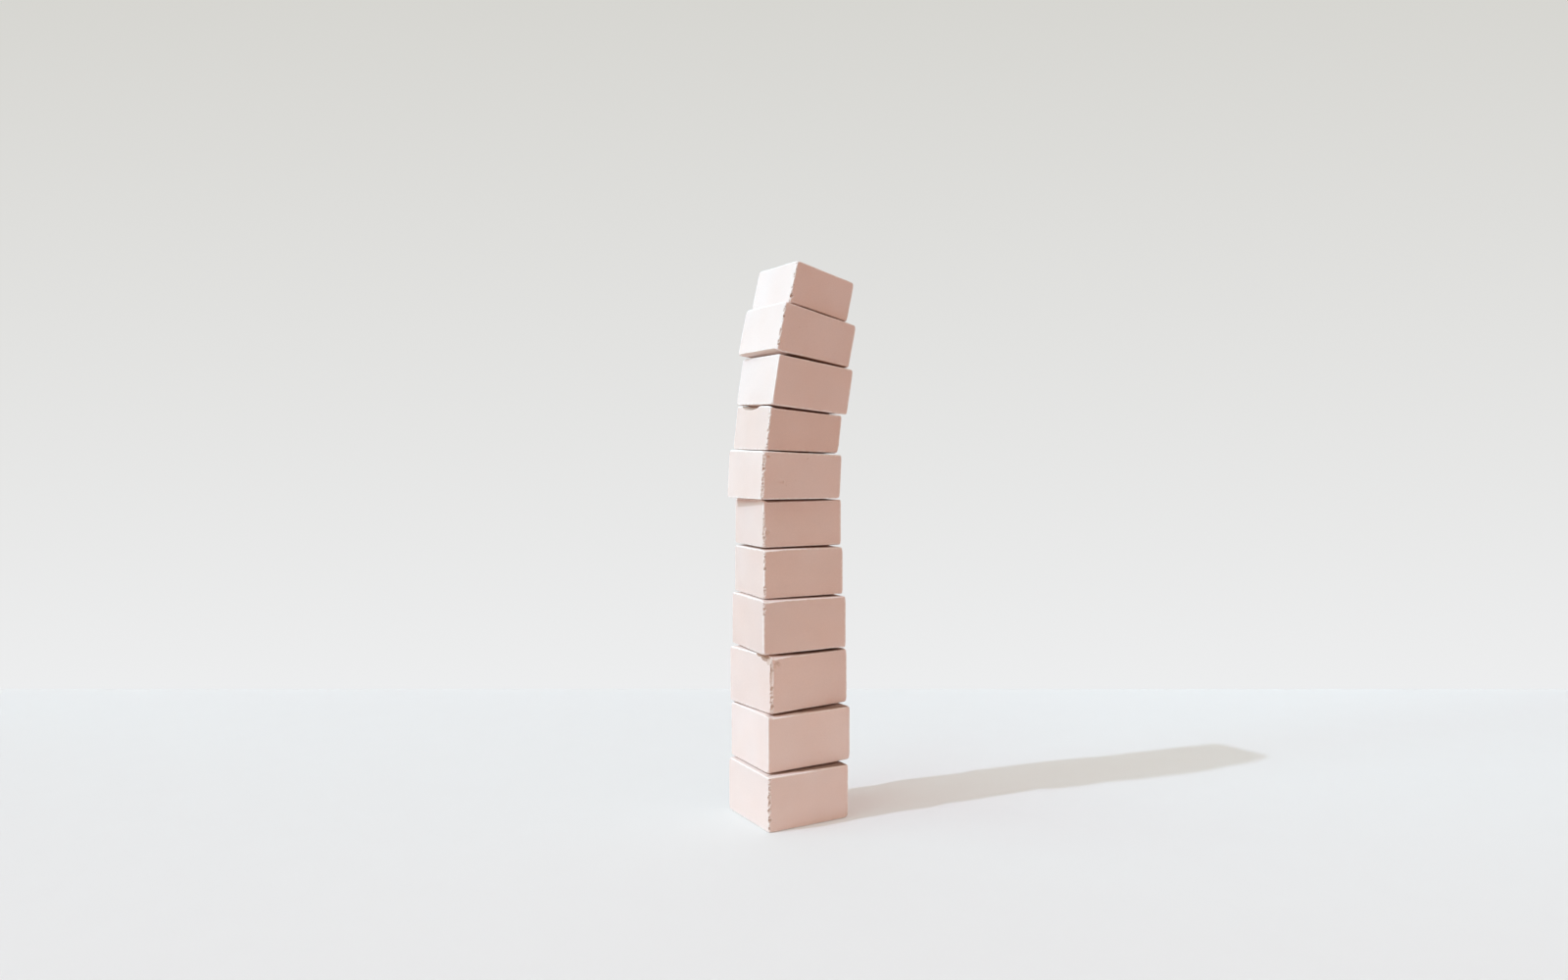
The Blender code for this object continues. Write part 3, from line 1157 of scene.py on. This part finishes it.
for lamp in LAMPS:
    data = bpy.data.lights.new(lamp.name, "SUN")
    data.energy = lamp.strength
    data.color = lamp.colour
    data.angle = np.radians(lamp.angle)
    made = bpy.data.objects.new(lamp.name, data)
    made.rotation_euler = Vector(lamp.travel).to_track_quat("-Z", "Y").to_euler()
    bpy.context.scene.collection.objects.link(made)
print("lamps:", ", ".join(lamp.name for lamp in LAMPS))

# %% A soft lamp high on the left
# Where it hangs and what it points at, in metres, its power in watts, and how wide its cone and how
# big its bulb are, in degrees and metres.
HIGH_LAMP = Vector((-2.2, 0.36, 1.75))
HIGH_AIM = Vector((0.0, 0.0, 1.0))
HIGH_POWER = 89.0
HIGH_COLOUR = (0.42, 0.83, 1.0)
HIGH_SPREAD = 38
HIGH_SIZE = 0.25

data = bpy.data.lights.new("high lamp", "SPOT")
data.energy = HIGH_POWER
data.color = HIGH_COLOUR
data.spot_size = np.radians(HIGH_SPREAD)
data.spot_blend = 1.0
data.shadow_soft_size = HIGH_SIZE
made = bpy.data.objects.new("high lamp", data)
made.location = HIGH_LAMP
made.rotation_euler = (HIGH_AIM - HIGH_LAMP).to_track_quat("-Z", "Y").to_euler()
bpy.context.scene.collection.objects.link(made)
print(made.name, "is", round((HIGH_AIM - HIGH_LAMP).length, 2), "m from what it points at")

# %% The room's own light
# What lights the tower from above and below the horizon, and what the camera sees past the stage.
ROOM_ABOVE = (0.66, 0.46, 0.38, 1)
ROOM_BELOW = (0.24, 0.04, 0.0, 1)
ROOM_SEEN = (0.73, 0.73, 0.72, 1)

# How far up and down from the horizon the two blend.
HORIZON = 0.1

world = bpy.data.worlds.new("room")
bpy.context.scene.world = world
world.use_nodes = True
room = world.node_tree
way = add(room, "TexCoord").outputs["Generated"]
upward = add(room, "SeparateXYZ", Vector=way).outputs["Z"]
above = add(room, "MapRange", Value=upward, From_Min=-HORIZON, From_Max=HORIZON).outputs["Result"]
shining = mix_colour(room, above, ROOM_BELOW, ROOM_ABOVE)
tone = mix_colour(room, seen_rays(room), shining, ROOM_SEEN)
feed(room, room.nodes["Background"].inputs["Color"], tone)
print("room glows", ROOM_ABOVE[:3], "above and", ROOM_BELOW[:3], "below")

# %% [markdown]
# ## Camera
# The picture is taken from 0.6 m above the floor, well under the top of the tower, and turned so
# that one upright edge comes forward. The lens is wide, and the camera tips down by less than a
# degree.

# %% Set the camera
# Where the lens is, in metres, how far it tips down over one metre, and its length and the width of
# the picture behind it, in millimetres.
EYE = Vector((-0.912, -1.566, 0.600))
TIP_DOWN = 0.0152
LENS = 23.6
SENSOR = 36.0

camera_data = bpy.data.cameras.new("camera")
camera_data.lens = LENS
camera_data.sensor_width = SENSOR
camera = bpy.data.objects.new("camera", camera_data)
camera.location = EYE
camera.rotation_euler = (LOOK - Vector((0, 0, TIP_DOWN))).to_track_quat("-Z", "Y").to_euler()
bpy.context.scene.collection.objects.link(camera)
bpy.context.scene.camera = camera
bpy.context.scene.view_settings.view_transform = "Standard"
print("camera at", [round(part, 3) for part in EYE])
